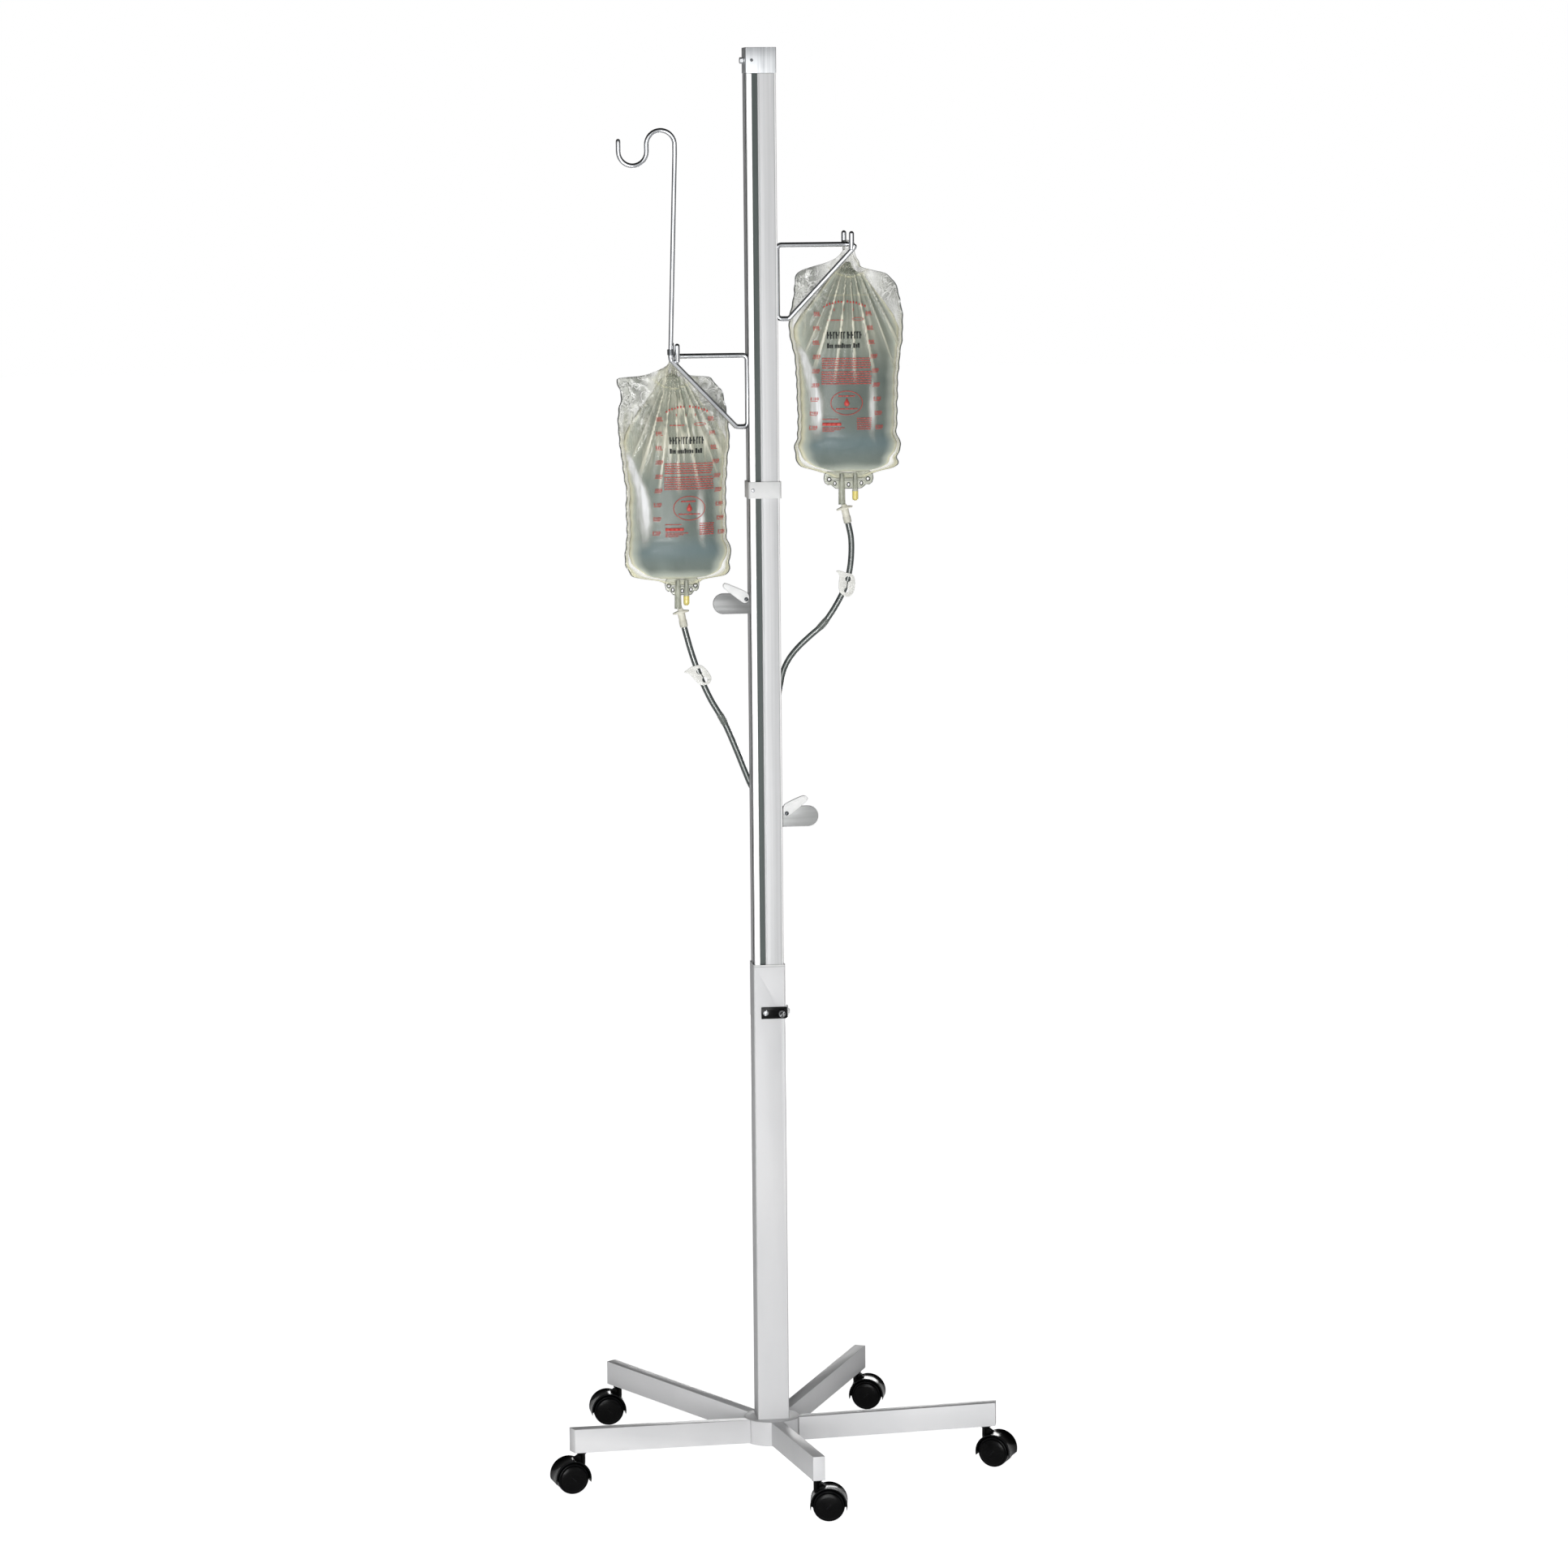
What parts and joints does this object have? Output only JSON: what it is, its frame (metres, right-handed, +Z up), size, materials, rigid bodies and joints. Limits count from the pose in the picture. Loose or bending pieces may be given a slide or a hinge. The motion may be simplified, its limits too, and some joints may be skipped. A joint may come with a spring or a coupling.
{
  "type": "irrigation fluid stand",
  "caption": "Telescoping irrigation stand on five casters, with two counter-pulled bag hangers, an S-shaped hook, brake handles, two fluid bags and Y-shaped tubing.",
  "frame": {"origin": "the centre of the footprint's bounding box, on the floor, with the cords left out; the column's axis stands at x = -0.008, y = +0.028 m", "axes": "+Z is up along the column; the front, with the grooved column face, the latch and the front leg, faces -Y; the S-hook and the lower bag are on the -X side"},
  "size_m": [0.7586, 0.69, 2.263],
  "materials": {
    "paint": "satin light grey powder coat",
    "anodised": "satin clear anodised extrusion",
    "brushed": "brushed grey metal",
    "chrome": "bright polished rod",
    "steel": "bright plated fasteners",
    "enamel": "white gloss enamel",
    "black_plastic": "black gloss nylon",
    "tread": "black glossy polyurethane and nylon",
    "grey_plastic": "moulded acetal",
    "film": "clear flexible film, filled with water",
    "port": "translucent yellowish moulding",
    "ivory": "off-white moulding",
    "tubing": "clear soft vinyl tubing",
    "cord": "braided polyester cable"
  },
  "bodies": {
    "base": {"hub": "paint", "lower_tube": "paint", "tube_end_bush": "grey_plastic", "latch_bracket": "black_plastic", "latch_screw": "steel", "latch_catch": "enamel", "leg_front": "paint", "leg_right": "paint", "leg_back_right": "paint", "leg_back_left": "paint", "leg_left": "paint"},
    "latch_knob": {"latch_knob": "black_plastic"},
    "mast": {"mast": "anodised", "mast_cap": "anodised", "guide_bolt": "steel", "cable_guide_left": "grey_plastic", "cable_guide_right": "grey_plastic", "cap_screw": "steel", "collar": "enamel", "collar_screw": "steel", "y_connector": "ivory", "drain_tube": "tubing", "tube_hank": "tubing", "hank_tie": "tread", "end_connector": "ivory"},
    "caster_fork_front": {"caster_hood_front": "black_plastic"},
    "caster_wheels_front": {"caster_wheels_front": "tread"},
    "caster_fork_right": {"caster_hood_right": "black_plastic"},
    "caster_wheels_right": {"caster_wheels_right": "tread"},
    "caster_fork_back_right": {"caster_hood_back_right": "black_plastic"},
    "caster_wheels_back_right": {"caster_wheels_back_right": "tread"},
    "caster_fork_back_left": {"caster_hood_back_left": "black_plastic"},
    "caster_wheels_back_left": {"caster_wheels_back_left": "tread"},
    "caster_fork_left": {"caster_hood_left": "black_plastic"},
    "caster_wheels_left": {"caster_wheels_left": "tread"},
    "hanger_left": {"hanger_frame_left": "chrome", "carriage_left": "grey_plastic", "hanger_cable_left": "cord", "s_hook_pole": "chrome", "bag_left": "film", "bag_ports_left": "port", "bag_spike_left": "ivory", "tube_leg_left": "tubing", "slide_clamp_left": "ivory"},
    "handle_left": {"handle_left": "brushed", "lever_pivot_left": "steel", "handle_cable_left": "cord"},
    "lever_left": {"lever_left": "enamel"},
    "hanger_right": {"hanger_frame_right": "chrome", "carriage_right": "grey_plastic", "hanger_cable_right": "cord", "bag_right": "film", "bag_ports_right": "port", "bag_spike_right": "ivory", "tube_leg_right": "tubing", "slide_clamp_right": "ivory"},
    "handle_right": {"handle_right": "brushed", "lever_pivot_right": "steel", "handle_cable_right": "cord"},
    "lever_right": {"lever_right": "enamel"}
  },
  "joints": [
    {"name": "mast_slide", "type": "slide", "parent": "base", "child": "mast", "axis": [0, 0, 1], "range_m": [-0.11, 0]},
    {"name": "latch_knob_pull", "type": "slide", "parent": "base", "child": "latch_knob", "axis": [0, -1, 0], "range_m": [0, 0.006], "stiffness_N_per_m": 400, "springref_m": -0.003},
    {"name": "hanger_left_slide", "type": "slide", "parent": "mast", "child": "hanger_left", "axis": [0, 0, 1], "range_m": [0, 0.22], "deforming": ["hanger_cable_left", "tube_leg_left"]},
    {"name": "handle_left_slide", "type": "slide", "parent": "mast", "child": "handle_left", "axis": [0, 0, 1], "range_m": [-0.44, 0], "deforming": ["handle_cable_left"]},
    {"name": "lever_left_squeeze", "type": "hinge", "parent": "handle_left", "child": "lever_left", "pos_m": [-0.03861, 0.01281, 1.402], "axis": [0, -1, 0], "range_deg": [0, 20], "stiffness_Nm_per_rad": 0.5, "springref_deg": -14.32},
    {"name": "hanger_right_slide", "type": "slide", "parent": "mast", "child": "hanger_right", "axis": [0, 0, 1], "range_m": [-0.165, 0.05], "deforming": ["hanger_cable_right", "tube_leg_right"]},
    {"name": "handle_right_slide", "type": "slide", "parent": "mast", "child": "handle_right", "axis": [0, 0, 1], "range_m": [-0.1, 0.33], "deforming": ["handle_cable_right"]},
    {"name": "lever_right_squeeze", "type": "hinge", "parent": "handle_right", "child": "lever_right", "pos_m": [0.02289, 0.01281, 1.0589], "axis": [0, 1, 0], "range_deg": [0, 20], "stiffness_Nm_per_rad": 0.5, "springref_deg": -14.32},
    {"name": "caster_front_swivel", "type": "hinge", "parent": "base", "child": "caster_fork_front", "pos_m": [0.0166, -0.3179, 0.062], "axis": [0, 0, 1], "continuous": true},
    {"name": "caster_front_roll", "type": "hinge", "parent": "caster_fork_front", "child": "caster_wheels_front", "pos_m": [0.03438, -0.32071, 0.025], "axis": [0.1564, 0.9877, 0], "continuous": true},
    {"name": "caster_right_swivel", "type": "hinge", "parent": "base", "child": "caster_fork_right", "pos_m": [0.32863, -0.05515, 0.062], "axis": [0, 0, 1], "continuous": true},
    {"name": "caster_right_roll", "type": "hinge", "parent": "caster_fork_right", "child": "caster_wheels_right", "pos_m": [0.34431, -0.06398, 0.025], "axis": [0.4909, 0.8712, 0], "continuous": true},
    {"name": "caster_back_right_swivel", "type": "hinge", "parent": "base", "child": "caster_fork_back_right", "pos_m": [0.17516, 0.32281, 0.062], "axis": [0, 0, 1], "continuous": true},
    {"name": "caster_back_right_roll", "type": "hinge", "parent": "caster_fork_back_right", "child": "caster_wheels_back_right", "pos_m": [0.19251, 0.31803, 0.025], "axis": [0.2656, 0.9641, 0], "continuous": true},
    {"name": "caster_back_left_swivel", "type": "hinge", "parent": "base", "child": "caster_fork_back_left", "pos_m": [-0.23172, 0.29364, 0.062], "axis": [0, 0, 1], "continuous": true},
    {"name": "caster_back_left_roll", "type": "hinge", "parent": "caster_fork_back_left", "child": "caster_wheels_back_left", "pos_m": [-0.24972, 0.29314, 0.025], "axis": [0.0279, -0.9996, 0], "continuous": true},
    {"name": "caster_left_swivel", "type": "hinge", "parent": "base", "child": "caster_fork_left", "pos_m": [-0.32972, -0.10234, 0.062], "axis": [0, 0, 1], "continuous": true},
    {"name": "caster_left_roll", "type": "hinge", "parent": "caster_fork_left", "child": "caster_wheels_left", "pos_m": [-0.34747, -0.10534, 0.025], "axis": [0.1668, -0.986, 0], "continuous": true}
  ],
  "couplings": [
    {"joint": "handle_left_slide", "follows": "hanger_left_slide", "ratio": -2},
    {"joint": "handle_right_slide", "follows": "hanger_right_slide", "ratio": -2}
  ]
}
